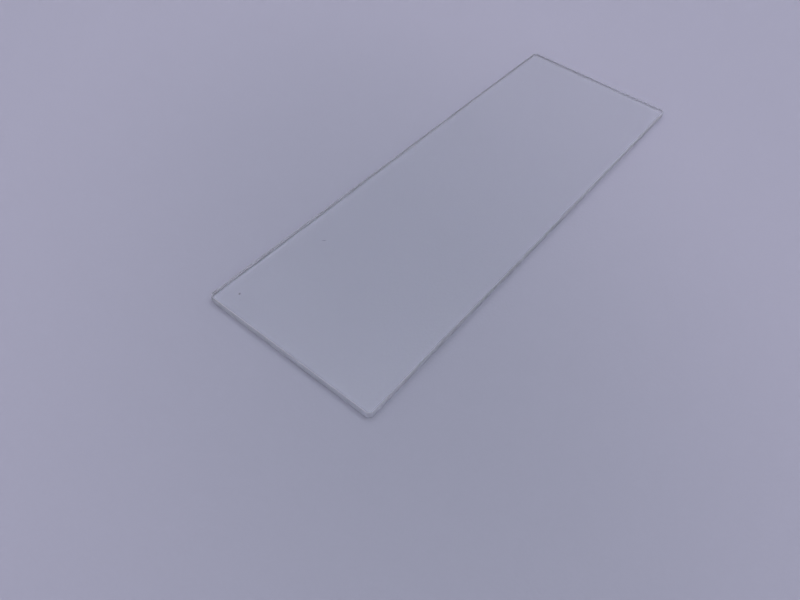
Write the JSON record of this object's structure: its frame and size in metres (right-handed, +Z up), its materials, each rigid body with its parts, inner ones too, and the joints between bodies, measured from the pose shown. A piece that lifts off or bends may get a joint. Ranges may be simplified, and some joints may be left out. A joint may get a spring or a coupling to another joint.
{
  "type": "microscope slide",
  "caption": "Plain clear glass microscope slide with polished faces, ground and bevelled edges and clipped corners, for carrying a specimen under a microscope.",
  "frame": {"origin": "centre of the underside", "axes": "+X along the slide, +Y across it, +Z up through the specimen face"},
  "size_m": [0.075, 0.025, 0.001],
  "materials": {
    "clear_glass": "polished faces, fine-ground edges, bevels and corners"
  },
  "bodies": {
    "root": {"glass_slide": "clear_glass"}
  },
  "joints": []
}
